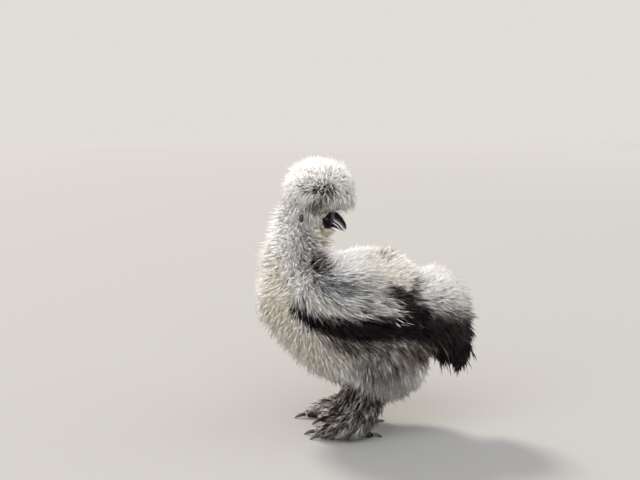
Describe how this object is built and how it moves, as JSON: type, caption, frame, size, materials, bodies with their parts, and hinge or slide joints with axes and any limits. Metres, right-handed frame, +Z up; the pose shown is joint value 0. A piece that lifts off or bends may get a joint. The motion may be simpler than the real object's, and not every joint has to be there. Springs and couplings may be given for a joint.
{
  "type": "silkie chicken, still model",
  "caption": "Life-size still model of a young silkie chicken standing with its head turned back, mottled white, grey and black fluff, dark bill and feathered feet.",
  "frame": {"origin": "on the floor, under the middle of the bird's box", "axes": "+Z up, the body faces -X with its left side towards -Y, and the turned head faces +X"},
  "size_m": [0.2266, 0.1406, 0.284],
  "materials": {
    "plumage_white": "matt, hair-like plumage, white to cream",
    "plumage_grey": "matt, hair-like plumage, mottled grey",
    "plumage_black": "matt, shredded plumage, black",
    "skin_dark": "dark mulberry skin, satin",
    "horn": "slate horn, satin",
    "eye": "wet, dark brown",
    "lobe_blue": "dark blue skin, satin"
  },
  "bodies": {
    "root": {"eye_right": "eye", "eye_left": "eye", "bill_upper": "horn", "bill_lower": "horn", "earlobe_right": "lobe_blue", "earlobe_left": "lobe_blue", "comb": "skin_dark", "claw_left_1": "horn", "claw_left_2": "horn", "claw_left_3": "horn", "claw_left_4": "horn", "claw_left_5": "horn", "foot_left": "skin_dark", "claw_right_1": "horn", "claw_right_2": "horn", "claw_right_3": "horn", "claw_right_4": "horn", "claw_right_5": "horn", "foot_right": "skin_dark", "shank_left": "plumage_grey", "shank_right": "plumage_grey", "head": "skin_dark", "trunk": "plumage_white", "neck": "plumage_white", "crest": "plumage_white", "thigh_left": "plumage_grey", "thigh_right": "plumage_grey", "wing_left": "plumage_black", "wing_right": "plumage_black", "cushion": "plumage_white", "tail": "plumage_black", "foot_feathers_left": "plumage_grey", "foot_feathers_right": "plumage_grey"}
  },
  "joints": []
}
